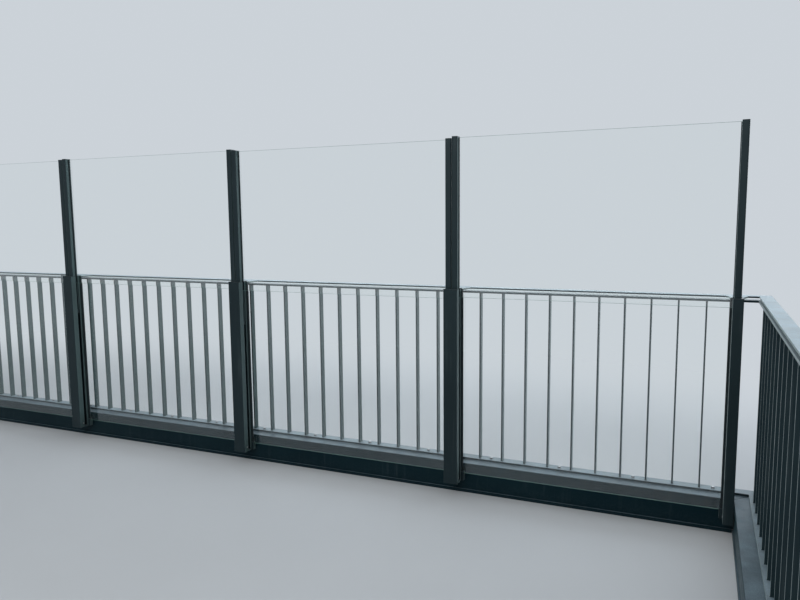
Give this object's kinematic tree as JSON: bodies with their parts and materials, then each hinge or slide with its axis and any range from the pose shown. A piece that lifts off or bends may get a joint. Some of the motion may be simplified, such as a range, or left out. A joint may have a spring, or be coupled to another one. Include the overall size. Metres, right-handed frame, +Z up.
{
  "type": "balcony railing",
  "caption": "Flat-bar balcony railing round a corner on a clad kerb, with a glass windscreen on the terrace side whose upper panes slide up and down in telescoping posts.",
  "frame": {"origin": "on the floor line, on the flat underside of the kerb, under the axis of the corner post", "axes": "+X along the front run towards the corner, +Y outwards from the terrace, +Z up"},
  "size_m": [5.975, 1.879, 1.972],
  "materials": {
    "kerb_concrete": "rough cast concrete",
    "coping_sheet": "satin powder coat, weathered",
    "railing_paint": "satin powder coat",
    "profile_coating": "fine satin powder coat on aluminium",
    "dark_plastic": "matte",
    "clear_glass": "clear toughened, polished edges",
    "seal_rubber": "matte"
  },
  "bodies": {
    "root": {"kerb_core_front": "kerb_concrete", "kerb_core_return": "kerb_concrete", "kerb_coping_front": "coping_sheet", "kerb_coping_return": "coping_sheet", "kerb_face_panels": "coping_sheet", "floor_trim": "coping_sheet", "railing_panel_1": "railing_paint", "railing_panel_2": "railing_paint", "railing_panel_3": "railing_paint", "railing_panel_4": "railing_paint", "return_panel_1": "railing_paint", "return_panel_2": "railing_paint", "handrail_front": "railing_paint", "handrail_return": "railing_paint", "handrail_brackets": "railing_paint", "screen_post_1": "profile_coating", "screen_post_2": "profile_coating", "screen_post_3": "profile_coating", "screen_post_4": "profile_coating", "screen_post_5": "profile_coating", "guide_collars": "dark_plastic", "foot_brackets": "profile_coating", "lower_pane_1": "clear_glass", "lower_pane_2": "clear_glass", "lower_pane_3": "clear_glass", "lower_pane_4": "clear_glass", "lower_pane_seals": "seal_rubber", "pane_setting_blocks": "seal_rubber"},
    "upper_screen_1": {"upper_rails_1": "profile_coating", "upper_rail_ends_1": "dark_plastic", "upper_pane_1": "clear_glass"},
    "upper_screen_2": {"upper_rails_2": "profile_coating", "upper_rail_ends_2": "dark_plastic", "upper_pane_2": "clear_glass"},
    "upper_screen_3": {"upper_rails_3": "profile_coating", "upper_rail_ends_3": "dark_plastic", "upper_pane_3": "clear_glass"},
    "upper_screen_4": {"upper_rails_4": "profile_coating", "upper_rail_ends_4": "dark_plastic", "upper_pane_4": "clear_glass"}
  },
  "joints": [
    {"name": "screen_1_height", "type": "slide", "parent": "root", "child": "upper_screen_1", "axis": [0, 0, 1], "range_m": [-0.8, 0]},
    {"name": "screen_2_height", "type": "slide", "parent": "root", "child": "upper_screen_2", "axis": [0, 0, 1], "range_m": [-0.8, 0]},
    {"name": "screen_3_height", "type": "slide", "parent": "root", "child": "upper_screen_3", "axis": [0, 0, 1], "range_m": [-0.8, 0]},
    {"name": "screen_4_height", "type": "slide", "parent": "root", "child": "upper_screen_4", "axis": [0, 0, 1], "range_m": [-0.8, 0]}
  ]
}
